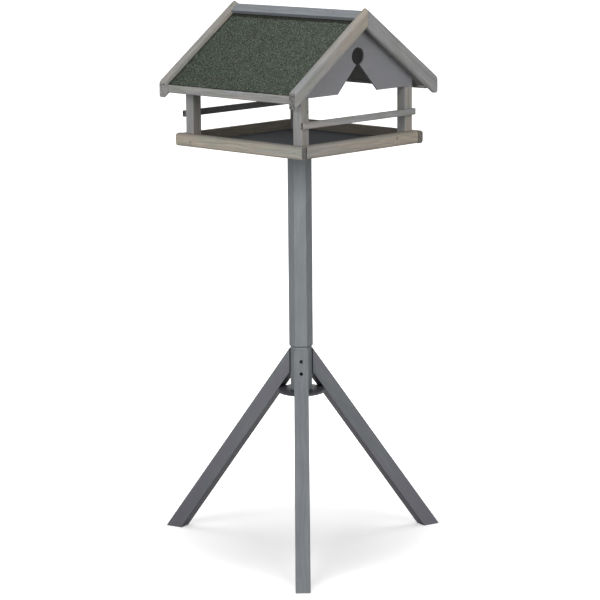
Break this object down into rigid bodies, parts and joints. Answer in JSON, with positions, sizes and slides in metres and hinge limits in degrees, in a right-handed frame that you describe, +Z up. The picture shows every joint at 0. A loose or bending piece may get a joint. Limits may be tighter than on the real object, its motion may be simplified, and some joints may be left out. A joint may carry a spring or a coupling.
{
  "type": "bird table",
  "caption": "Wooden bird table with a felted gable roof and keyhole gables over a railed feeding tray, on a faceted column with splayed, screwed legs.",
  "frame": {"origin": "on the ground, at the centre of the footprint of the overall bounding box", "axes": "+Z up, +Y along the ridge from the front gable to the back gable, +X to the right seen from the front gable"},
  "size_m": [0.6153, 0.6096, 1.216],
  "materials": {
    "washed_pine": "planed pine under a thin washed grey-beige stain, streaky, with small knots",
    "grey_paint": "pine under thin blue-grey paint, satin",
    "panel_paint": "thin board under smooth grey paint",
    "ridge_paint": "pine under light blue-grey paint, with dark knots",
    "floor_paint": "plywood under dark grey paint",
    "roof_timber": "plain dark stained boards under the felt",
    "green_felt": "green mineral roofing felt, granular and matt",
    "zinc_steel": "dulled zinc-plated steel"
  },
  "bodies": {
    "root": {"column_upper": "grey_paint", "column_lower": "grey_paint", "column_joint_stud": "zinc_steel", "spreader_disc": "grey_paint", "disc_screw": "zinc_steel", "leg_front": "grey_paint", "leg_screw_front_upper": "zinc_steel", "leg_screw_front_lower": "zinc_steel", "leg_right": "grey_paint", "leg_screw_right_upper": "zinc_steel", "leg_screw_right_lower": "zinc_steel", "leg_back": "grey_paint", "leg_screw_back_upper": "zinc_steel", "leg_screw_back_lower": "zinc_steel", "tray_screw_1": "zinc_steel", "tray_screw_2": "zinc_steel", "tray_screw_3": "zinc_steel", "tray_floor": "floor_paint", "tray_rail_right": "washed_pine", "tray_rail_left": "washed_pine", "tray_rail_front": "washed_pine", "tray_rail_back": "washed_pine", "post_front_left": "washed_pine", "post_screw_front_left": "zinc_steel", "post_front_right": "washed_pine", "post_screw_front_right": "zinc_steel", "post_back_left": "washed_pine", "post_screw_back_left": "zinc_steel", "post_back_right": "washed_pine", "post_screw_back_right": "zinc_steel", "perch_front": "washed_pine", "gable_panel_front": "panel_paint", "perch_back": "washed_pine", "gable_panel_back": "panel_paint", "roof_board_right": "roof_timber", "eave_board_right": "washed_pine", "roof_felt_right": "green_felt", "ridge_board_right": "ridge_paint", "barge_board_front_right": "washed_pine", "barge_board_back_right": "washed_pine", "roof_board_left": "roof_timber", "eave_board_left": "washed_pine", "roof_felt_left": "green_felt", "ridge_board_left": "ridge_paint", "barge_board_front_left": "washed_pine", "barge_board_back_left": "washed_pine"}
  },
  "joints": []
}
